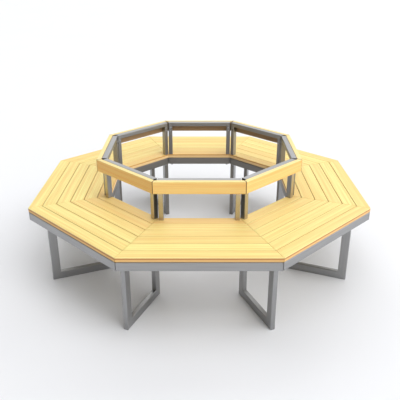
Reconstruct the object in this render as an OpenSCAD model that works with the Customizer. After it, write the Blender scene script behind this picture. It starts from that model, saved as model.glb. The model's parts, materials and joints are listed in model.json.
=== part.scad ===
// Octagonal tree bench: eight wedge-shaped modules round an opening for the trunk.
// The four modules on the diagonals stand on two welded leg frames each. The four
// between them hang from their neighbours, by bolts through the seat frames.
// Millimetres, +Z up. The origin is on the ground, at the middle of the tree opening.
// A module is drawn as the front one, which faces -Y, and then turned to its side.

/* [Plan] */
// Clear width of the tree opening, across its flats
opening_w = 1000; // [800:10:1400]
// Gap between the steel frames of neighbouring modules, square to the joint
module_gap = 4; // [2:0.5:8]
// Gap between their slats and boards, which close the joint a little more
wood_gap = 2; // [1:0.5:8]

/* [Seat] */
// Height of the seat's top above the ground
seat_h = 450; // [380:5:520]
// Number of slats from the backrest to the outer edge
slat_count = 6; // [3:1:9]
// Width of a seat slat
slat_w = 66; // [55:1:90]
// Thickness of a seat slat
slat_t = 25; // [22:1:40]
// Gap between two seat slats
slat_gap = 3; // [2:0.5:10]
// Radius of the eased long edges of slats and boards
edge_r = 3; // [1:0.5:6]

/* [Seat frame] */
// Height of the frame's tube as it stands on edge, and a leg tube's depth
frame_tube_h = 45; // [35:1:60]
// Width of the same tube
frame_tube_w = 25; // [20:1:35]
// Wall of all the tubes
tube_wall = 2; // [1.5:0.25:3]
// Outer corner radius of all the tubes
tube_corner_r = 3.5; // [3.25:0.25:6]
// How far the frame stays back from the slats' edges
frame_setback = 1; // [0:0.5:5]
// Root gap that the welder leaves at each mitre of a frame
weld_gap = 0.2; // [0.1:0.1:0.5]

/* [Backrest] */
// Height of the backrest's top above the ground
back_h = 670; // [600:5:850]
// Width of the backrest frame's tube, as it is seen from in front
back_tube_w = 25; // [20:1:35]
// Depth of the same tube
back_tube_d = 30; // [25:1:40]
// Height of the backrest board
board_h = 65; // [50:1:120]
// Thickness of the backrest board
board_t = 25; // [22:1:40]

/* [Legs] */
// Distance of a leg from the opening's corner, along the joint
leg_inner_inset = 9; // [8:1:40]
// Distance of a leg from the seat's outer corner, along the joint
leg_outer_inset = 84; // [40:1:160]

/* [Fixings] */
// Width of the flat bar that the slats' ends are screwed to
bearer_w = 30; // [20:1:40]
// Thickness of that bar
bearer_t = 5; // [3:0.5:8]
// Diameter of the wood screws
screw_d = 5; // [4:0.5:6]
// Length of a slat screw under its head
slat_screw_l = 22; // [14:1:24]
// Length of a board screw under its head
board_screw_l = 45; // [38:1:48]
// Diameter of the bolts that join the modules
bolt_d = 8; // [6:1:10]
// Distance of a joining bolt from the nearest rail, along the joint
bolt_inset = 60; // [30:5:100]
// Diameter of the bolts that hold the backrest's posts down on the seat
post_bolt_d = 6; // [5:0.5:6.5]
// Distance of such a bolt from the inner rail's inside face
post_bolt_inset = 9; // [8.5:0.5:10]
// Its distance from the side of the post that faces its fellow
post_bolt_offset = 6.5; // [6:0.5:8]
// Thickness of the plate welded into a post's foot, which the bolt is screwed into
foot_plate_t = 6; // [4:0.5:10]

/* [Hidden] */
$fn = 48;
// Modules round the tree, and the half angle that each one takes up
sides = 8;
half_angle = 180 / sides;
// How far a cut runs past what it cuts
overrun = 5;
// Extra width of holes round screws in steel and in wood, and round bolts
screw_hole_clearance = 0.5;
pilot_clearance = 0.2;
bolt_hole_clearance = 1;
// A nut, washer or spacer is this much wider inside than its bolt
ring_clearance = 0.4;
// A pan head's width, height and the chamfer round its top
screw_head_d = 9.5;
screw_head_h = 3;
screw_head_chamfer = 1;
// Free depth of a screw hole beyond the screw's point
pilot_extra = 1;
// Screws sit at these shares of the height that post and board have in common
board_screw_shares = [0.25, 0.75];
// Bolt head and nut: width across flats and heights
hex_w = 13;
bolt_head_h = 5.3;
nut_h = 8;
// Bolt end that shows beyond its nut, or above a foot plate
bolt_tail = 3;
// Washers under head and nut, and the spacer between two modules
washer_d = 16;
washer_t = 1.6;
spacer_d = 24;
// Head of a post bolt and the washer under it
post_hex_w = 10;
post_bolt_head_h = 4;
post_washer_d = 12;

// Plan sizes, as distances of a side from the middle
opening_a = opening_w / 2;
slat_pitch = slat_w + slat_gap;
outer_a = opening_a + slat_count * slat_pitch - slat_gap;
frame_outer_a = outer_a - frame_setback;
frame_inner_a = opening_a + frame_setback;
// Insets from the joint: the frame's side, the inside of its end member, the bearer's edge
side_inset = module_gap / 2;
member_inset = side_inset + frame_tube_w;
bearer_inset = member_inset + bearer_w;
// Heights of the slats' underside and of the frame's underside, where the legs end
slat_z = seat_h - slat_t;
frame_z = slat_z - frame_tube_h;
board_z = back_h - board_h;
// Posts stand on the innermost slat, above the inner rail, and line up with it
board_back_a = frame_inner_a + back_tube_d;
board_front_a = board_back_a + board_t;
post_x = half_length(frame_inner_a, side_inset);
// Legs, as distances from the middle along the joint
leg_in = opening_a / cos(half_angle) + leg_inner_inset;
leg_out = outer_a / cos(half_angle) - leg_outer_inset;
// Corners of the seat frame's plan: outside and inside of the tube, at outer and inner rail
frame_out_p = corner(frame_outer_a, side_inset);
frame_out_q = corner(frame_outer_a - frame_tube_w, member_inset);
frame_in_p = corner(frame_inner_a, side_inset);
frame_in_q = corner(frame_inner_a + frame_tube_w, member_inset);
// Joining bolts: distances from the middle along the joint, and height
bolt_places = [along_joint(frame_in_q) + bolt_inset, along_joint(frame_out_q) - bolt_inset];
bolt_z = frame_z + frame_tube_h / 2;
// From the joint's middle to the face that a bolt head or nut presses on
bolt_seat = member_inset + washer_t;

WOOD = [0.95, 0.82, 0.55];
STEEL = [0.62, 0.62, 0.63];
ZINC = [0.75, 0.76, 0.78];

SIDES = ["front", "front_right", "right", "back_right", "back", "back_left", "left", "front_left"];
// Only every second module has legs, one at each of its joints
LEGS = [for (i = [1 : 2 : sides - 1], hand = [-1, 1]) [i, hand]];

function side_name(i) = SIDES[(i + sides) % sides];
function leg_name(l) = str("leg_", side_name(l[0]), "_", side_name(l[0] + l[1]));

// Half the length of a piece that is mitred at both ends, at distance a from the middle
function half_length(a, inset) = (a - inset / sin(half_angle)) * tan(half_angle);
// Plan point at distance a from the middle and inset from the right-hand joint
function corner(a, inset) = [half_length(a, inset), -a];
// Distance of a plan point from the middle, measured along the joint
function along_joint(p) = p.x * sin(half_angle) - p.y * cos(half_angle);
// The point an overrun beyond p, on the line that comes from q
function beyond(p, q) = p + (p - q) / norm(p - q) * overrun;
function mirrored(p) = [-p.x, p.y];

// Inner edge of slat n, and the middle of what lies over the bearer
function slat_a(n) = opening_a + n * slat_pitch;
function slat_screw_a(n) =
    (max(slat_a(n), frame_inner_a + frame_tube_w)
        + min(slat_a(n) + slat_w, frame_outer_a - frame_tube_w)) / 2;

module at_side(i) rotate([0, 0, i * 2 * half_angle]) children();

// The right-hand joint of a module: x runs outwards along it and the module lies at y < 0
module at_joint() rotate([0, 0, half_angle - 90]) children();

// Pieces drawn for the right-hand end, put at the end asked for: 1 is right and -1 is left
module at_hand(hand) {
    if (hand > 0) children();
    else mirror([1, 0, 0]) children();
}

module both_ends() for (hand = [-1, 1]) at_hand(hand) children();

module rounded_section(w, h, r) {
    translate([r, 0]) square([w - 2 * r, h]);
    translate([0, r]) square([w, h - 2 * r]);
    for (x = [r, w - r], y = [r, h - r]) translate([x, y]) circle(r);
}

module tube_section(w, h) {
    difference() {
        rounded_section(w, h, tube_corner_r);
        translate([tube_wall, tube_wall])
            rounded_section(w - 2 * tube_wall, h - 2 * tube_wall, tube_corner_r - tube_wall);
    }
}

// A bar of length l along x, w wide in y and h high in z
module along_x(l) rotate([90, 0, 90]) linear_extrude(l) children();

// A plan outline, as a cutter that runs past the whole height
module plan_cut(points) translate([0, 0, -overrun]) linear_extrude(back_h + 2 * overrun) polygon(points);

// An outline in the x-z plane, as a cutter that runs past the thickness t, which starts at y = 0
module upright_cut(points, t)
    translate([0, t + overrun, 0]) rotate([90, 0, 0]) linear_extrude(t + 2 * overrun) polygon(points);

// Trims wood to the module's wedge, half a gap back from each joint
module mitred() {
    apex = [0, -wood_gap / 2 / sin(half_angle)];
    reach = outer_a + overrun;
    intersection() {
        children();
        plan_cut([apex, apex + [reach * tan(half_angle), -reach], apex + [-reach * tan(half_angle), -reach]]);
    }
}

// A rail between two mitres: p is its corner on the frame's outside, q the one on the inside
module rail(p, q) {
    long = 2 * max(p.x, q.x) + 2 * overrun;
    outside = beyond(p, q) - [weld_gap, 0];
    inside = beyond(q, p) - [weld_gap, 0];
    intersection() {
        translate([-long / 2, min(p.y, q.y), frame_z]) along_x(long) tube_section(frame_tube_w, frame_tube_h);
        plan_cut([outside, inside, mirrored(inside), mirrored(outside)]);
    }
}

// The tube along a joint, drilled for the joining bolts
module end_member() {
    intersection() {
        at_joint() difference() {
            translate([along_joint(frame_in_p) - overrun, -member_inset, frame_z])
                along_x(along_joint(frame_out_p - frame_in_p) + 2 * overrun)
                    tube_section(frame_tube_w, frame_tube_h);
            for (x = bolt_places) translate([x, overrun, bolt_z]) rotate([90, 0, 0])
                cylinder(h = member_inset + 2 * overrun, d = bolt_d + bolt_hole_clearance);
        }
        plan_cut([
            beyond(frame_out_p, frame_out_q), beyond(frame_out_q, frame_out_p),
            beyond(frame_in_q, frame_in_p), beyond(frame_in_p, frame_in_q)
        ]);
    }
}

// The inner rail is drilled for the bolts that hold the posts down
module seat_frame() color(STEEL) {
    rail(frame_out_p, frame_out_q);
    difference() {
        rail(frame_in_p, frame_in_q);
        both_ends() post_bolt_place(frame_z - overrun)
            cylinder(h = frame_tube_h + 2 * overrun, d = post_bolt_d + bolt_hole_clearance);
    }
    both_ends() end_member();
}

// On the axis of the right-hand post bolt, at height z
module post_bolt_place(z)
    translate([post_x - back_tube_w + post_bolt_offset, -frame_inner_a - post_bolt_inset, z]) children();

module seat_slats() color(WOOD) for (n = [0 : slat_count - 1]) difference() {
    half = half_length(slat_a(n) + slat_w, 0);
    mitred() translate([-half, -slat_a(n) - slat_w, slat_z])
        along_x(2 * half) rounded_section(slat_w, slat_t, edge_r);
    both_ends() slat_screw_place(n) cylinder(
        h = slat_screw_l - bearer_t + pilot_extra,
        d = screw_d + pilot_clearance
    );
    if (n == 0) both_ends() post_bolt_place(slat_z - overrun)
        cylinder(h = slat_t + 2 * overrun, d = post_bolt_d + bolt_hole_clearance);
}

// Where the screw of slat n enters the wood, at the right-hand end
module slat_screw_place(n) {
    a = slat_screw_a(n);
    translate([half_length(a, member_inset + bearer_w / 2), -a, slat_z]) children();
}

// An upside-down U of tube on the innermost slat, drilled for the board's screws
module back_frame() color(STEEL) difference() {
    translate([0, -board_back_a, 0]) {
        both_ends() back_post();
        back_top();
        both_ends() foot_plate();
    }
    both_ends() board_screw_places() translate([0, 0, -overrun])
        cylinder(h = back_tube_d + 2 * overrun, d = screw_d + screw_hole_clearance);
    both_ends() post_bolt_place(seat_h - overrun)
        cylinder(h = foot_plate_t + 2 * overrun, d = post_bolt_d + ring_clearance);
}

// The right-hand post of the backrest, mitred at its top
module back_post() intersection() {
    inner = post_x - back_tube_w;
    top = back_h - back_tube_w;
    translate([inner, 0, seat_h]) linear_extrude(back_h - seat_h) tube_section(back_tube_w, back_tube_d);
    upright_cut([
        [inner - overrun, seat_h - overrun], [post_x + overrun, seat_h - overrun],
        [post_x + overrun, back_h + overrun], [inner - overrun, top - overrun]
    ], back_tube_d);
}

// The plate welded inside the right-hand post's foot, a root gap smaller than the tube's bore
module foot_plate() {
    inset = tube_wall + weld_gap;
    translate([post_x - back_tube_w + inset, inset, seat_h]) linear_extrude(foot_plate_t)
        rounded_section(back_tube_w - 2 * inset, back_tube_d - 2 * inset, tube_corner_r - tube_wall);
}

// The top bar of the backrest, mitred at both ends
module back_top() intersection() {
    outer = post_x - weld_gap;
    inner = outer - back_tube_w;
    top = back_h - back_tube_w;
    translate([-post_x, 0, top]) along_x(2 * post_x) tube_section(back_tube_d, back_tube_w);
    upright_cut([
        [outer + overrun, back_h + overrun], [-outer - overrun, back_h + overrun],
        [overrun - inner, top - overrun], [inner - overrun, top - overrun]
    ], back_tube_d);
}

// Where each screw of the backrest board enters the post, at the right-hand end
module board_screw_places() for (share = board_screw_shares)
    translate([post_x - back_tube_w / 2, -frame_inner_a, board_z + share * (board_h - back_tube_w)])
        rotate([90, 0, 0]) children();

module back_board() color(WOOD) difference() {
    half = half_length(board_front_a, 0);
    mitred() translate([-half, -board_front_a, board_z])
        along_x(2 * half) rounded_section(board_t, board_h, edge_r);
    both_ends() board_screw_places() cylinder(h = board_screw_l + pilot_extra, d = screw_d + pilot_clearance);
}

// A leg frame at the right-hand joint: a U of tube that carries the end member
module leg() color(STEEL) at_joint() translate([0, -member_inset, 0]) {
    leg_upright();
    translate([leg_in + leg_out, 0, 0]) mirror([1, 0, 0]) leg_upright();
    intersection() {
        translate([leg_in, 0, 0]) along_x(leg_out - leg_in) tube_section(frame_tube_w, frame_tube_h);
        upright_cut([
            [leg_in + weld_gap - overrun, -overrun], [leg_out - weld_gap + overrun, -overrun],
            [leg_out - frame_tube_h - weld_gap - overrun, frame_tube_h + overrun],
            [leg_in + frame_tube_h + weld_gap + overrun, frame_tube_h + overrun]
        ], frame_tube_w);
    }
}

// The upright of a leg nearer to the tree, mitred at its foot
module leg_upright() intersection() {
    translate([leg_in, 0, 0]) linear_extrude(frame_z) tube_section(frame_tube_h, frame_tube_w);
    upright_cut([
        [leg_in - overrun, -overrun], [leg_in + frame_tube_h + overrun, frame_tube_h + overrun],
        [leg_in + frame_tube_h + overrun, frame_z + overrun], [leg_in - overrun, frame_z + overrun]
    ], frame_tube_w);
}

// The flat bar beside the end member, drilled for the slats' screws
module bearer() difference() {
    translate([0, 0, slat_z - bearer_t]) linear_extrude(bearer_t) polygon([
        frame_out_q, frame_in_q,
        corner(frame_inner_a + frame_tube_w, bearer_inset),
        corner(frame_outer_a - frame_tube_w, bearer_inset)
    ]);
    for (n = [0 : slat_count - 1]) slat_screw_place(n) translate([0, 0, -bearer_t - overrun])
        cylinder(h = bearer_t + 2 * overrun, d = screw_d + screw_hole_clearance);
}

module slat_bearers() color(STEEL) for (i = [0 : sides - 1]) at_side(i) both_ends() bearer();

// A pan-head wood screw: the head's underside is at z = 0 and the point is up
module screw(l) {
    head_r = screw_head_d / 2;
    cylinder(h = l - screw_d, d = screw_d);
    translate([0, 0, l - screw_d]) cylinder(h = screw_d, d1 = screw_d, d2 = 0);
    rotate_extrude() polygon([
        [0, 0], [head_r, 0], [head_r, screw_head_chamfer - screw_head_h],
        [head_r - screw_head_chamfer, -screw_head_h], [0, -screw_head_h]
    ]);
}

module slat_screws() color(ZINC)
    for (i = [0 : sides - 1]) at_side(i) both_ends() for (n = [0 : slat_count - 1])
        slat_screw_place(n) translate([0, 0, -bearer_t]) screw(slat_screw_l);

module board_screws() color(ZINC)
    for (i = [0 : sides - 1]) at_side(i) both_ends() board_screw_places() screw(board_screw_l);

// All the joining bolts' places. Each bolt goes in from a module without legs, and z runs
// across the joint from its head to its nut.
module bolt_axes() for (i = [0 : 2 : sides - 1]) at_side(i) both_ends() for (x = bolt_places)
    at_joint() translate([x, 0, bolt_z]) rotate([-90, 0, 0]) children();

module hexagon(w, h) cylinder(h = h, d = w / cos(30), $fn = 6);

// A washer or spacer for a bolt of the thickness given
module ring(d, h, bolt) difference() {
    cylinder(h = h, d = d);
    translate([0, 0, -overrun]) cylinder(h = h + 2 * overrun, d = bolt + ring_clearance);
}

module joint_bolts() color(ZINC) bolt_axes() {
    translate([0, 0, -bolt_seat - bolt_head_h]) hexagon(hex_w, bolt_head_h);
    translate([0, 0, -bolt_seat]) cylinder(h = 2 * bolt_seat + nut_h + bolt_tail, d = bolt_d);
}

module joint_nuts() color(ZINC) bolt_axes() translate([0, 0, bolt_seat]) difference() {
    hexagon(hex_w, nut_h);
    translate([0, 0, -overrun]) cylinder(h = nut_h + 2 * overrun, d = bolt_d + ring_clearance);
}

module joint_washers() color(ZINC) bolt_axes() {
    for (z = [-bolt_seat, member_inset]) translate([0, 0, z]) ring(washer_d, washer_t, bolt_d);
}

module joint_spacers() color(ZINC) bolt_axes() translate([0, 0, -side_inset])
    ring(spacer_d, module_gap, bolt_d);

// The post bolts' places, at the underside of each inner rail
module post_bolt_axes() for (i = [0 : sides - 1]) at_side(i) both_ends() post_bolt_place(frame_z) children();

// Each goes up through rail and slat into the foot plate of its post
module post_bolts() color(ZINC) post_bolt_axes() {
    translate([0, 0, -washer_t - post_bolt_head_h]) hexagon(post_hex_w, post_bolt_head_h);
    translate([0, 0, -washer_t])
        cylinder(h = washer_t + frame_tube_h + slat_t + foot_plate_t + bolt_tail, d = post_bolt_d);
}

module post_washers() color(ZINC) post_bolt_axes() translate([0, 0, -washer_t])
    ring(post_washer_d, washer_t, post_bolt_d);

for (i = [0 : sides - 1]) {
    at_side(i) seat_frame();
    at_side(i) seat_slats();
    at_side(i) back_frame();
    at_side(i) back_board();
}
for (l = LEGS) at_side(l[0]) at_hand(l[1]) leg();
slat_bearers();
slat_screws();
board_screws();
post_bolts();
post_washers();
joint_bolts();
joint_nuts();
joint_washers();
joint_spacers();
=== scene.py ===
import json
import math

import bmesh
import bpy
import numpy as np
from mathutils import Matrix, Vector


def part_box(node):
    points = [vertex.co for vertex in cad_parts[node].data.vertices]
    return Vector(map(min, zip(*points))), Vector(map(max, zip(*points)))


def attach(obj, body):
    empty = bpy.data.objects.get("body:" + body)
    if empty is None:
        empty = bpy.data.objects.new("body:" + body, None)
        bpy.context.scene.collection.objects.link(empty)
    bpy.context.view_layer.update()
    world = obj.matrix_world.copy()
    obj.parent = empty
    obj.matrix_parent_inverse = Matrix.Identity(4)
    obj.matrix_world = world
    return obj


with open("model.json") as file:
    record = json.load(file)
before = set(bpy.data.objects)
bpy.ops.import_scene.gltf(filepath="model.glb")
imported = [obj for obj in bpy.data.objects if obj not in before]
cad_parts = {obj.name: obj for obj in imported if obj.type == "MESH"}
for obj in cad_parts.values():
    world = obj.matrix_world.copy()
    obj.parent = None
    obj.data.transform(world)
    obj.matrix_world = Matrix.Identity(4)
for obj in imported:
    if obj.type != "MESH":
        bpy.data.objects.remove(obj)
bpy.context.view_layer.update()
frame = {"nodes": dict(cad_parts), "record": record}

# Camera
# It stands in front of the bench's front side, at about a standing person's eye height.
# Place, tilt and lens were worked out from the eight corners of the seat in the photograph.
camera_place = (0, -3.0504, 1.6668)
camera_tilt = math.radians(66.35)
camera_lens = 49.7
image_side_px = 400
bench_middle_px = 199.34

camera = bpy.data.objects.new("camera", bpy.data.cameras.new("camera"))
camera.data.lens = camera_lens
camera.data.shift_x = 0.5 - bench_middle_px / image_side_px
camera.location = camera_place
camera.rotation_euler = (camera_tilt, 0, 0)
bpy.context.scene.collection.objects.link(camera)
bpy.context.scene.camera = camera

# Studio
# A matt white floor runs into a white sky, which gives no light. The lamps are wide, so the
# light is soft. Most of it comes from the right, where two low lamps catch the frames, and
# little comes from the left.
floor_side = 120
floor_light = "#eaebee"
floor_shade = "#e7e8eb"
floor_roughness = 0.9
floor_cloud_size = 1.25
sky_white = "#ffffff"
lamp_bounces = 1
# Each lamp's direction from the front towards the right, its height and its width, all in
# degrees, and its strength
lamps = {
    "key_lamp": (30, 35, 50, 1.1),
    "side_lamp": (60, 55, 40, 0.88),
    "right_lamp": (90, 15, 50, 1.22),
    "back_right_lamp": (135, 15, 50, 1.11),
    "back_lamp": (180, 35, 50, 0.85),
    "back_left_lamp": (225, 55, 40, 0.45),
    "front_left_lamp": (330, 55, 40, 0.42),
    "top_lamp": (0, 90, 40, 0.7),
}


def linear(hex_colour):
    """Turns an sRGB hex colour into linear red, green, blue and an alpha of 1."""
    shares = [int(hex_colour[i : i + 2], 16) / 255 for i in (1, 3, 5)]
    return [s / 12.92 if s <= 0.04045 else ((s + 0.055) / 1.055) ** 2.4 for s in shares] + [1]


def add(tree, kind, inputs=(), **settings):
    """Adds a shader node with its settings and links.

    Inputs go by their names, or in their order in a tuple. Each is a number, a colour, an
    output, or a node, which stands for its first output.
    """
    made = tree.nodes.new("ShaderNode" + kind)
    for name, value in settings.items():
        setattr(made, name, value)
    named = inputs if isinstance(inputs, dict) else dict(enumerate(inputs))
    for socket, value in named.items():
        if isinstance(value, bpy.types.Node):
            value = value.outputs[0]
        if isinstance(value, bpy.types.NodeSocket):
            tree.links.new(value, made.inputs[socket])
        else:
            made.inputs[socket].default_value = value
    return made


def material(name):
    """A new material, its node tree, emptied, and the place on the object."""
    made = bpy.data.materials.new(name)
    made.use_nodes = True
    made.node_tree.nodes.clear()
    return made, made.node_tree, add(made.node_tree, "TexCoord").outputs["Object"]


# Matt white paint: hardly any gloss, so the floor shows only how much light reaches it.
floor_paint, tree, place = material("matt_white_floor_paint")
clouds = add(tree, "TexNoise", {"Vector": place, "Scale": 1 / floor_cloud_size, "Detail": 2})
tone = add(tree, "MixRGB", (clouds, linear(floor_shade), linear(floor_light)))
coat = add(tree, "BsdfPrincipled", {"Base Color": tone, "Roughness": floor_roughness})
add(tree, "OutputMaterial", {"Surface": coat})

half = floor_side / 2
floor_corners = [(-half, -half, 0), (half, -half, 0), (half, half, 0), (-half, half, 0)]
floor_mesh = bpy.data.meshes.new("floor")
floor_mesh.from_pydata(floor_corners, [], [(0, 1, 2, 3)])
floor = bpy.data.objects.new("floor", floor_mesh)
floor.data.materials.append(floor_paint)
bpy.context.scene.collection.objects.link(floor)

# The sky is seen past the floor's edge, but it lights nothing and is in no reflection.
world = bpy.data.worlds.new("sky")
world.use_nodes = True
world.node_tree.nodes["Background"].inputs["Color"].default_value = linear(sky_white)
bpy.context.scene.world = world
world.cycles_visibility.diffuse = False
world.cycles_visibility.glossy = False

# A lamp's light that has met one surface may light the next, but goes no further, which
# keeps the shade under the seat as deep as it is in the photograph.
for name, (turn, height, width, strength) in lamps.items():
    lamp = bpy.data.objects.new(name, bpy.data.lights.new(name, "SUN"))
    lamp.data.energy = strength
    lamp.data.angle = math.radians(width)
    lamp.data.cycles.max_bounces = lamp_bounces
    lamp.rotation_euler = (math.radians(90 - height), 0, math.radians(turn))
    bpy.context.scene.collection.objects.link(lamp)

bpy.context.scene.view_settings.view_transform = "Standard"

# Steel frames
# Every module has a flat frame of rectangular tube under its seat and an upside-down U of
# tube for its backrest. The four diagonal modules stand on two U-shaped leg frames each.
# All of it is mitred stainless tube, welded, ground down and brushed along the tubes.
sides = ["front", "front_right", "right", "back_right", "back", "back_left", "left", "front_left"]
step = math.radians(45)
half_angle = step / 2
# The tube of the seat frames and legs, and how far they stay clear of the joint
tube_w = 0.025
tube_h = 0.045
joint_inset = 0.002
seat_frame_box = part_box("seat_frame_front")
frame_z = seat_frame_box[0].z
frame_outer = -seat_frame_box[0].y
frame_inner = -seat_frame_box[1].y
back_frame_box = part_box("back_frame_front")
back_top = back_frame_box[1].z
post_x = back_frame_box[1].x
steel_grey = "#acacac"
steel_shade = "#9b9b9c"
steel_roughness = (0.34, 0.46)
steel_cloud_size = 0.12
brush_length = 0.09
brush_width = 0.0012
brush_depth = 0.0003
brush_strength = 0.08
streak_length = 0.27
streak_width = 0.007
# How far a face looks outward is 1 with its back to the upright axis and -1 towards it. The polishing and
# painted highlight set in at the first value and are full at the second, as the painted shade does below
# zero.
facing_limits = (0.6, 0.9)
# Painted shade: the faces towards the opening are painted darker, most at the seat, and the share falls
# between the two heights.
painted_shade_grey = "#86817a"
painted_shade_heights = (0.5, 0.66)
painted_shade_shares = (0.85, 0.2)
# Backs and hands have polished the outward faces of the backrest's posts and bars, which turn smoother.
# Their lighter, warmer grey is a painted highlight.
painted_highlight_grey = "#d2c9c9"
polished_smoothing = -0.32
back_polish_and_highlight = 0.55


def streaks(tree, place, length, width, detail):
    """A noise stretched along x, so that its streaks are about so long and so wide."""
    scale = (1 / length, 1 / width, 1 / width)
    stretched = add(tree, "Mapping", {"Vector": place, "Scale": scale})
    return add(tree, "TexNoise", {"Vector": stretched, "Scale": 1, "Detail": detail})


def shade_highlight_and_polish(tree, place, colour, polish_and_highlight):
    """Paints shade on the faces towards the axis, and a painted highlight, a lighter grey, on those away
    from it by the share polish.

    How far a face looks outward is the dot product of its normal and the plan direction away from the axis.
    The painted shade falls with height. The polished share is given back after the colour. A MapRange takes
    a value, its two limits, and what it gives at them and beyond.
    """
    flat = add(tree, "VectorMath", (place, (1, 1, 0)), operation="MULTIPLY")
    outward = add(tree, "VectorMath", (flat,), operation="NORMALIZE")
    normal = add(tree, "NewGeometry").outputs["Normal"]
    facing = add(tree, "VectorMath", (outward, normal), operation="DOT_PRODUCT").outputs["Value"]
    begins, full = facing_limits
    inwards = add(tree, "MapRange", (facing, -begins, -full))
    outwards = add(tree, "MapRange", (facing, begins, full, 0, polish_and_highlight))
    height = add(tree, "SeparateXYZ", (place,)).outputs["Z"]
    # Painted shade: its share falls with height and is greatest at the seat.
    share = add(tree, "MapRange", (height, *painted_shade_heights, *painted_shade_shares))
    painted_shade = add(tree, "Math", (inwards, share), operation="MULTIPLY")
    colour = add(tree, "MixRGB", (painted_shade, colour, linear(painted_shade_grey)))
    # Painted highlight: the outward faces are painted a lighter, warmer grey.
    return add(tree, "MixRGB", (outwards, colour, linear(painted_highlight_grey))), outwards


def finish_steel(name, turn, brushing, polish_and_highlight=0.0):
    """Brushed stainless steel: fine lines along each tube blur its reflections across them.

    The place is turned so that the module or joint lies as brushing expects it, and brushing
    gives back the place with x along the tube. Real brush lines are finer than a tenth of a
    millimetre, so these are drawn more than ten times as coarse, to show at all.
    """
    made, tree, place = material(name)
    turned_place = add(tree, "Mapping", {"Vector": place, "Rotation": (0, 0, -turn)})
    along = brushing(tree, turned_place)
    lines = streaks(tree, along, brush_length, brush_width, detail=3)
    bands = streaks(tree, along, streak_length, streak_width, detail=2)
    clouds = add(tree, "TexNoise", {"Vector": turned_place, "Scale": 1 / steel_cloud_size, "Detail": 3})
    grey = add(tree, "MixRGB", (bands, linear(steel_shade), linear(steel_grey)))
    # Painted shade towards the opening, and painted highlight outwards.
    tone, polished = shade_highlight_and_polish(tree, place, grey, polish_and_highlight)
    unpolished = add(tree, "MapRange", (clouds, 0, 1, *steel_roughness))
    roughness = add(tree, "Math", (polished, polished_smoothing, unpolished), operation="MULTIPLY_ADD")
    bump = add(tree, "Bump", {"Height": lines, "Strength": brush_strength, "Distance": brush_depth})
    steel = add(tree, "BsdfPrincipled", {
        "Base Color": tone, "Metallic": 1.0, "Roughness": roughness, "Normal": bump,
    })
    add(tree, "OutputMaterial", {"Surface": steel})
    return made


def brush_seat_frame(tree, place):
    """Rails are brushed along x, and the end members along the joints, up to the mitres.

    A point is on a rail where it lies nearer to the frame's outer or inner edge than to its side.
    """
    halved = add(tree, "VectorMath", (place,), operation="ABSOLUTE")
    out = (math.sin(half_angle), math.cos(half_angle), 0)
    inward = (-math.cos(half_angle), math.sin(half_angle), 0)
    from_middle = add(tree, "VectorMath", (halved, out), operation="DOT_PRODUCT").outputs["Value"]
    from_joint = add(tree, "VectorMath", (halved, inward), operation="DOT_PRODUCT").outputs["Value"]
    parts = add(tree, "SeparateXYZ", (halved,)).outputs
    on_member = add(tree, "CombineXYZ", (from_middle, from_joint, parts["Z"]))
    from_outer = add(tree, "Math", (frame_outer, parts["Y"]), operation="SUBTRACT")
    from_inner = add(tree, "Math", (parts["Y"], frame_inner), operation="SUBTRACT")
    from_edge = add(tree, "Math", (from_outer, from_inner), operation="MINIMUM")
    from_side = add(tree, "Math", (from_joint, joint_inset), operation="SUBTRACT")
    on_rail = add(tree, "Math", (from_edge, from_side), operation="LESS_THAN")
    return add(tree, "MixRGB", (on_rail, on_member, place))


def brush_back_frame(tree, place):
    """The top bar is brushed along x and the posts upright, up to the mitres."""
    parts = add(tree, "SeparateXYZ", (place,)).outputs
    upright = add(tree, "CombineXYZ", (parts["Z"], parts["Y"], parts["X"]))
    from_middle = add(tree, "Math", (parts["X"],), operation="ABSOLUTE")
    from_end = add(tree, "Math", (post_x, from_middle), operation="SUBTRACT")
    from_top = add(tree, "Math", (back_top, parts["Z"]), operation="SUBTRACT")
    on_bar = add(tree, "Math", (from_top, from_end), operation="LESS_THAN")
    return add(tree, "MixRGB", (on_bar, upright, place))


def brush_leg(tree, place):
    """With the joint turned along x, the foot bar is brushed along x and the uprights upright.

    A point is on the foot bar where it lies nearer to the ground than to the leg's nearer end.
    """
    parts = add(tree, "SeparateXYZ", (place,)).outputs
    upright = add(tree, "CombineXYZ", (parts["Z"], parts["Y"], parts["X"]))
    from_in = add(tree, "Math", (parts["X"], leg_in), operation="SUBTRACT")
    from_out = add(tree, "Math", (leg_out, parts["X"]), operation="SUBTRACT")
    from_end = add(tree, "Math", (from_in, from_out), operation="MINIMUM")
    on_foot = add(tree, "Math", (parts["Z"], from_end), operation="LESS_THAN")
    return add(tree, "MixRGB", (on_foot, upright, place))


def joint_direction(i, hand):
    """The plan direction, from x, of module i's right-hand joint, or its left-hand one for -1."""
    return (i + hand / 2) * step - math.pi / 2


def reach(node, turn):
    """A node's least and greatest distance from the middle, measured in plan direction turn."""
    mesh = frame["nodes"][node].data
    corners = np.empty(3 * len(mesh.vertices))
    mesh.vertices.foreach_get("co", corners)
    distances = corners.reshape(-1, 3)[:, :2] @ (math.cos(turn), math.sin(turn))
    return distances.min(), distances.max()


def dress(node, finish):
    """Gives a CAD node its finish."""
    frame["nodes"][node].data.materials.clear()
    frame["nodes"][node].data.materials.append(finish)


# Each leg's node, its module's number, and 1 or -1 for the module's right or left joint
legs = []
for i in range(1, len(sides), 2):
    for hand in (-1, 1):
        legs.append((f"leg_{sides[i]}_{sides[(i + hand) % len(sides)]}", i, hand))
leg_in, leg_out = reach("leg_front_right_right", joint_direction(1, 1))

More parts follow.
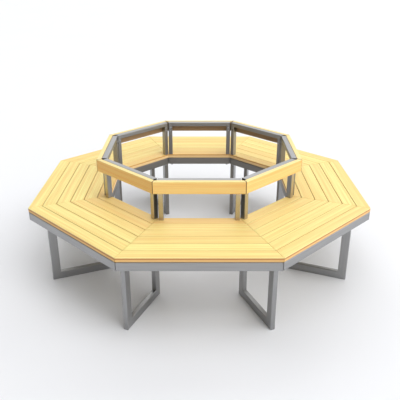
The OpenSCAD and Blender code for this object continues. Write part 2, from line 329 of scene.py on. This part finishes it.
frame_kinds = (("seat_frame_", brush_seat_frame, 0), ("back_frame_", brush_back_frame, back_polish_and_highlight))
for i, side in enumerate(sides):
    for kind, brushing, polish_and_highlight in frame_kinds:
        finish = finish_steel("brushed_stainless_" + kind + side, i * step, brushing, polish_and_highlight)
        dress(kind + side, finish)
for leg, i, hand in legs:
    finish = finish_steel("brushed_stainless_" + leg, joint_direction(i, hand), brush_leg)
    dress(leg, finish)
# The flat bars under the seat that carry the slats are one node, so their lines all run along x.
bearer_steel = finish_steel("brushed_stainless_bearers", 0, lambda tree, place: place)
dress("slat_bearers", bearer_steel)

# Welds
# Every mitre of the frames, and the top of every leg, is closed by a TIG weld that runs right
# round the tube. It was ground down to a faint, slightly rounded seam, a little paler than
# the brushed tube beside it.
seam_half_width = 0.0011
seam_rise = 0.0003
corner_r = 0.0035
corner_points = 6
bead_points = 8
back_tube_w = 0.025
back_tube_d = back_frame_box[1].y - back_frame_box[0].y
seam_grey = "#b4b4b4"
seam_shade = "#9e9e9f"
seam_roughness = 0.42
ripple_size = 0.0014
ripple_depth = 0.0002
ripple_strength = 0.2


def tube_outline(w, h):
    """Places and outward directions round a tube's outline, w by h, from its lowest corner.

    Each corner is a quarter circle of the tube's corner radius, and the sides join their ends.
    """
    turns = np.linspace(0, math.pi / 2, corner_points)
    angles = np.concatenate([turns + k * math.pi / 2 for k in range(4)])
    right, far = w - corner_r, h - corner_r
    middles = [(right, far), (corner_r, far), (corner_r, corner_r), (right, corner_r)]
    outward = np.stack([np.cos(angles), np.sin(angles)], axis=1)
    return np.repeat(middles, corner_points, axis=0) + corner_r * outward, outward


def seam(start, across, upward, w, h):
    """A closed bead round a cut through a w by h tube.

    The cut starts at one corner and its two sides are the vectors across and upward. The
    tube's outline is stretched onto it. At every point of it stands an ellipse, of the
    seam's half width square to the cut and its rise away from the tube. What would reach
    below the ground is pressed flat onto it.
    """
    start, across, upward = (np.asarray(v, float) for v in (start, across, upward))
    outline, outward = tube_outline(w, h)
    middle = start + outline[:, :1] / w * across + outline[:, 1:] / h * upward
    away = outward[:, :1] * across / np.linalg.norm(across)
    away = away + outward[:, 1:] * upward / np.linalg.norm(upward)
    square = np.cross(across, upward)
    square /= np.linalg.norm(square)
    turns = np.arange(bead_points) / bead_points * 2 * math.pi
    rise = away[:, None] * (seam_rise * np.sin(turns))[:, None]
    points = middle[:, None] + rise + square * (seam_half_width * np.cos(turns))[:, None]
    points[..., 2] = np.maximum(points[..., 2], 0)
    return points


def ring_faces(rows, columns):
    """Quads over a grid of points that closes on itself both ways."""
    i, j = np.meshgrid(np.arange(rows), np.arange(columns), indexing="ij")
    next_i, next_j = (i + 1) % rows, (j + 1) % columns
    corners = ((i, j), (next_i, j), (next_i, next_j), (i, next_j))
    return np.stack([row * columns + column for row, column in corners], axis=-1).reshape(-1, 4)


def turned(points, angle, hand=1):
    """Mirrors points left to right for a hand of -1, then turns them about the upright axis."""
    cos, sin = math.cos(angle), math.sin(angle)
    x, y = points[..., 0] * hand, points[..., 1]
    return np.stack([cos * x - sin * y, sin * x + cos * y, points[..., 2]], axis=-1)


def weld(name, seams):
    """All the seams of one frame, as one piece, with their faces turned outwards."""
    rows, columns = seams[0].shape[:2]
    faces = np.concatenate([ring_faces(rows, columns) + k * rows * columns for k in range(len(seams))])
    mesh = bpy.data.meshes.new(name)
    mesh.from_pydata(np.stack(seams).reshape(-1, 3).tolist(), [], faces.tolist())
    shape = bmesh.new()
    shape.from_mesh(mesh)
    bmesh.ops.recalc_face_normals(shape, faces=shape.faces)
    shape.to_mesh(mesh)
    shape.free()
    mesh.polygons.foreach_set("use_smooth", [True] * len(mesh.polygons))
    made = bpy.data.objects.new(name, mesh)
    bpy.context.scene.collection.objects.link(made)
    made.data.materials.append(ground_weld)
    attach(made, "root")


def plan_corner(distance, inset):
    """The plan point at that distance from the middle and that inset from the right-hand joint."""
    return np.array([(distance - inset / math.sin(half_angle)) * math.tan(half_angle), -distance])


# A ground weld: the bead's ripple is all but gone, and its grey is even and a little paler.
ground_weld, tree, place = material("ground_stainless_weld")
ripples = add(tree, "TexNoise", {"Vector": place, "Scale": 1 / ripple_size, "Detail": 2})
tone = add(tree, "MixRGB", (ripples, linear(seam_shade), linear(seam_grey)))
bump = add(tree, "Bump", {"Height": ripples, "Strength": ripple_strength, "Distance": ripple_depth})
bead = add(tree, "BsdfPrincipled", {
    "Base Color": tone, "Metallic": 1.0, "Roughness": seam_roughness, "Normal": bump,
})
add(tree, "OutputMaterial", {"Surface": bead})

# Outer and inner mitre of a seat frame, each from the frame's outside corner to its inside one
seat_seams = []
for distance, inward in ((frame_outer, -tube_w), (frame_inner, tube_w)):
    outside = plan_corner(distance, joint_inset)
    inside = plan_corner(distance + inward, joint_inset + tube_w)
    seat_seams.append(seam((*outside, frame_z), (*(inside - outside), 0), (0, 0, tube_h), tube_w, tube_h))
back_corner = (post_x, -frame_inner - back_tube_d, back_top)
back_seam = seam(back_corner, (-back_tube_w, 0, -back_tube_w), (0, back_tube_d, 0), back_tube_w, back_tube_d)
for i, side in enumerate(sides):
    weld("weld_seat_frame_" + side, [turned(s, i * step, hand) for s in seat_seams for hand in (-1, 1)])
    weld("weld_back_frame_" + side, [turned(back_seam, i * step, hand) for hand in (-1, 1)])

# Foot mitre and top of each upright, at the right-hand joint
leg_seams = []
for end, inward in ((leg_in, tube_h), (leg_out, -tube_h)):
    for z, climb in ((0, tube_h), (frame_z, 0)):
        corner = (end, -joint_inset - tube_w, z)
        at_joint = seam(corner, (inward, 0, climb), (0, tube_w, 0), tube_h, tube_w)
        leg_seams.append(turned(at_joint, half_angle - math.pi / 2))
for leg, i, hand in legs:
    weld("weld_" + leg, [turned(s, i * step, hand) for s in leg_seams])

# Seat slats and backrest boards
# Planed pine boards, mitred at the joints and screwed on from below and behind. Each board
# is cut from its own part of a log, so the year rings show as lengthwise bands that differ.
slat_pitch = 0.069
slat_w = 0.066
slats_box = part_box("seat_slats_front")
opening = -slats_box[1].y
seat_depth = -slats_box[0].y - opening
seat_top = slats_box[1].z
board_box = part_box("back_board_front")
board_top = board_box[1].z
board_back = -board_box[1].y
# Pale early wood, redder early wood, the heartwood that some boards lean to, and late wood
seat_tones = ("#f6ec98", "#f0d480", "#efb96e", "#d3a05c")
# The boards' tones are redder than the seat's: painted warm light, bounced from the seat onto the boards.
board_grain_and_bounce_tones = ("#ffdf8f", "#fbca76", "#f5b96a", "#d59350")
# The most heartwood that chance gives a board, the redness painted on the innermost slat on top of it as
# warm light bounced from the backrest, and the slat, counted from 0, from which nothing is added
board_difference = 0.38
inner_bounce_redness = 0.42
plain_slat = 2
ring_width = 0.0065
# A wave texture's rings are this wide at a scale of 1
wave_width = math.pi / 10
# A higher power leaves the late wood a narrower part of its ring
late_power = 4.0
late_depth = 0.4
band_length = 0.7
band_width = 0.013
band_limits = (0.36, 0.64)
wobble_length = 0.35
wobble_width = 0.04
wobble_depth = 0.012
fibre_length = 0.05
fibre_width = 0.0008
fibre_depth = 0.0003
fibre_strength = 0.15
pine_roughness = (0.45, 0.6)
# How far apart in their logs the boards may lie, along, across and through them
log_shift = (7.0, 0.12, 0.05)
# A board's key is a number that settles its wood, and each module has this many of them.
module_keys = 20
# Its slats take the first six, and its backrest board takes this one.
board_key = 11
# Hands and legs have worn the seat's outer arris and the backrest's top back to bare wood. Both are also
# painted paler, as painted highlight where the light falls on them.
bare_and_highlight_tone = "#fdf0a6"
board_bare_and_lit_tone = "#f3dc94"
# End grain drinks the finish, so the boards' mitres are dark.
end_tone = "#8f6a3e"
# The boards' backs are painted dark: painted shade in the recess under the backrest's top bar.
back_painted_shade_tone = "#a5835a"
# Where a backrest board's tones are full and where they end: down from its top, in from the
# plane of the joint, and forward from its back
bare_and_lit_limits = (0.0015, 0.0035)
end_limits = (0.0015, 0.0035)
back_shade_limits = (0.0005, 0.003)
# How far in from a slat's long edges their tones begin, and where they are full
edge_limits = (0.002, 0.0003)
# How wide the change is from one edge's rings to the other's, at the middle of a slat
middle_width = 0.001
# Down the slats' edges from the top, in metres: the seat's outer edge, its inner edge, and the edges in the
# gaps. The last, dark tone of the outer and inner edges is painted shade where the slat sits on the rail.
# The gap walls are painted pale near the top, as bounced light, and darker lower down, as painted shade.
outer_edge_grain_and_shade = ((0.0, bare_and_highlight_tone), (0.0035, "#c98a4a"), (0.0115, "#efc07a"), (0.0215, "#7d5a34"))
inner_edge_grain_and_shade = ((0.0, "#d1984f"), (0.007, "#f9d193"), (0.0225, "#a87c4c"))
gap_painted_light_and_shade = ((0.0, "#f4d890"), (0.005, "#d9b070"))
# How far the border between two of these tones reaches up and down
ring_border = 0.0015


def pine_grain(tree, place, key, redness, tones):
    """The colour of planed pine, and its fibres as a height.

    A white noise of the board's key shifts the place in the log and shades the board. Bands along the board
    mix pale and redder early wood. Year rings are circles about the log's axis, bent by a slow noise, and
    each darkens towards its late wood. Fibres are a noise stretched along the board. Redness adds more
    heartwood tone on top: on the inner slats it is painted warm light, bounced from the backrest.
    """
    chance = add(tree, "TexWhiteNoise", {"W": key}, noise_dimensions="1D").outputs
    in_log = add(tree, "VectorMath", (chance["Color"], log_shift, place), operation="MULTIPLY_ADD")
    wobble = streaks(tree, in_log, wobble_length, wobble_width, detail=2).outputs["Color"]
    bend = (0, wobble_depth, wobble_depth)
    bent = add(tree, "VectorMath", (wobble, bend, in_log), operation="MULTIPLY_ADD")
    bands = streaks(tree, bent, band_length, band_width, detail=3)
    rings = add(tree, "TexWave", {"Vector": bent, "Scale": wave_width / ring_width, "Distortion": 0},
                wave_type="RINGS", rings_direction="X", wave_profile="SAW").outputs["Fac"]
    narrowed = add(tree, "Math", (rings, late_power), operation="POWER")
    late = add(tree, "Math", (narrowed, late_depth), operation="MULTIPLY")
    fibres = streaks(tree, in_log, fibre_length, fibre_width, detail=3)
    pale, red, heart, dark = (linear(t) for t in tones)
    reddened = add(tree, "MapRange", (bands, *band_limits))
    share = add(tree, "Math", (chance["Value"], board_difference, redness), operation="MULTIPLY_ADD")
    early = add(tree, "MixRGB", (reddened, pale, red))
    body = add(tree, "MixRGB", (share, early, heart))
    return add(tree, "MixRGB", (late, body, dark)), fibres


def down_edge(tree, depth, rings):
    """The colours of an edge, each from its own depth downwards, with soft borders."""
    colour = linear(rings[0][1])
    for down, tone in rings[1:]:
        below = add(tree, "MapRange", (depth, down - ring_border, down + ring_border))
        colour = add(tree, "MixRGB", (below, colour, linear(tone)))
    return colour


def pine_surface(tree, colour, fibres):
    """Planed and oiled: the fibres stand a little proud and the sheen is soft."""
    bump = add(tree, "Bump", {"Height": fibres, "Strength": fibre_strength, "Distance": fibre_depth})
    roughness = add(tree, "MapRange", (fibres, 0, 1, *pine_roughness))
    wood = add(tree, "BsdfPrincipled", {"Base Color": colour, "Roughness": roughness, "Normal": bump})
    add(tree, "OutputMaterial", {"Surface": wood})


def seat_pine(name, turn, first_key):
    """The slats of one module: planed pine with bare arrises, and bands of grain, painted light and painted
    shade along the edges.

    A slat's number is its distance from the opening over the pitch, without the rest. The inner slats are
    painted redder, as warm light bounced from the backrest. What lies further from a slat's middle line than
    its flat top takes the tones of the outer edge, the inner edge or a gap, by its depth below the top.
    """
    made, tree, place = material(name)
    in_module = add(tree, "Mapping", {"Vector": place, "Rotation": (0, 0, -turn)})
    parts = add(tree, "SeparateXYZ", (in_module,)).outputs
    outwards = add(tree, "Math", (parts["Y"], -1, -opening), operation="MULTIPLY_ADD")
    pitches = add(tree, "Math", (outwards, slat_pitch), operation="DIVIDE")
    number = add(tree, "Math", (pitches,), operation="FLOOR")
    key = add(tree, "Math", (number, first_key), operation="ADD")
    # Painted warm light bounced from the backrest: the inner slats are redder.
    redness = add(tree, "MapRange", (number, 0, plain_slat, inner_bounce_redness, 0))
    colour, fibres = pine_grain(tree, in_module, key, redness, seat_tones)
    on_slat = add(tree, "Math", (number, -slat_pitch, outwards), operation="MULTIPLY_ADD")
    past_middle = add(tree, "Math", (on_slat, slat_w / 2), operation="SUBTRACT")
    off_middle = add(tree, "Math", (past_middle,), operation="ABSOLUTE")
    on_edge = add(tree, "MapRange", (off_middle, slat_w / 2 - edge_limits[0], slat_w / 2 - edge_limits[1]))
    last_middle = seat_depth - slat_w / 2
    outermost = add(tree, "MapRange", (outwards, last_middle, last_middle + middle_width))
    innermost = add(tree, "MapRange", (outwards, slat_w / 2, slat_w / 2 + middle_width, 1, 0))
    depth = add(tree, "Math", (seat_top, parts["Z"]), operation="SUBTRACT")
    # The edge tones end in painted shade at the bottom; in the gaps they are painted light near the top.
    in_gap, inner, outer = (down_edge(tree, depth, rings) for rings in (gap_painted_light_and_shade, inner_edge_grain_and_shade, outer_edge_grain_and_shade))
    edge = add(tree, "MixRGB", (innermost, in_gap, inner))
    edge = add(tree, "MixRGB", (outermost, edge, outer))
    pine_surface(tree, add(tree, "MixRGB", (on_edge, colour, edge)), fibres)
    return made


def board_pine(name, turn, key):
    """One backrest board: pine painted redder as warm light bounced from the seat, its top worn bare and
    painted paler as lit, dark end grain at the mitres, and painted shade behind.

    Its distance from the plane of the joint is y times the sine of the half angle, less x
    times its cosine, both taken as positive.
    """
    made, tree, place = material(name)
    in_module = add(tree, "Mapping", {"Vector": place, "Rotation": (0, 0, -turn)})
    parts = add(tree, "SeparateXYZ", (in_module,)).outputs
    colour, fibres = pine_grain(tree, in_module, key, 0.0, board_grain_and_bounce_tones)
    depth = add(tree, "Math", (board_top, parts["Z"]), operation="SUBTRACT")
    # Worn bare, and painted paler as the lit top: painted highlight.
    at_top = add(tree, "MapRange", (depth, *bare_and_lit_limits, 1, 0))
    colour = add(tree, "MixRGB", (at_top, colour, linear(board_bare_and_lit_tone)))
    outwards = add(tree, "Math", (parts["Y"], -math.sin(half_angle)), operation="MULTIPLY")
    to_side = add(tree, "Math", (parts["X"], math.cos(half_angle)), operation="MULTIPLY")
    sideways = add(tree, "Math", (to_side,), operation="ABSOLUTE")
    from_joint = add(tree, "Math", (outwards, sideways), operation="SUBTRACT")
    at_mitre = add(tree, "MapRange", (from_joint, *end_limits, 1, 0))
    colour = add(tree, "MixRGB", (at_mitre, colour, linear(end_tone)))
    # Painted shade: the back in the recess under the top bar is painted dark.
    from_back = add(tree, "Math", (parts["Y"], -1, -board_back), operation="MULTIPLY_ADD")
    behind = add(tree, "MapRange", (from_back, *back_shade_limits, 1, 0))
    colour = add(tree, "MixRGB", (behind, colour, linear(back_painted_shade_tone)))
    pine_surface(tree, colour, fibres)
    return made


for i, side in enumerate(sides):
    first_key = module_keys * i
    slats_pine = seat_pine("planed_pine_seat_" + side, i * step, first_key)
    dress("seat_slats_" + side, slats_pine)
    back_pine = board_pine("planed_pine_board_" + side, i * step, first_key + board_key)
    dress("back_board_" + side, back_pine)

# Fixings
# Bolts, nuts, washers, spacers and screws of bright zinc-plated steel, all under the seat or
# behind the backrest. They join the modules and hold the posts, the slats and the boards.
zinc_light = "#b4b6ba"
zinc_dark = "#9b9ea4"
zinc_roughness = 0.3
spangle_size = 0.004

# Bright zinc plate: smoother than the frames, with a faint bluish spangle.
zinc, tree, place = material("bright_zinc_plate")
spangle = add(tree, "TexNoise", {"Vector": place, "Scale": 1 / spangle_size, "Detail": 2})
tone = add(tree, "MixRGB", (spangle, linear(zinc_dark), linear(zinc_light)))
plate = add(tree, "BsdfPrincipled", {"Base Color": tone, "Metallic": 1.0, "Roughness": zinc_roughness})
add(tree, "OutputMaterial", {"Surface": plate})
for part in frame["record"]["subparts"]:
    if part["material_slot"] == "zinc":
        dress(part["node"], zinc)
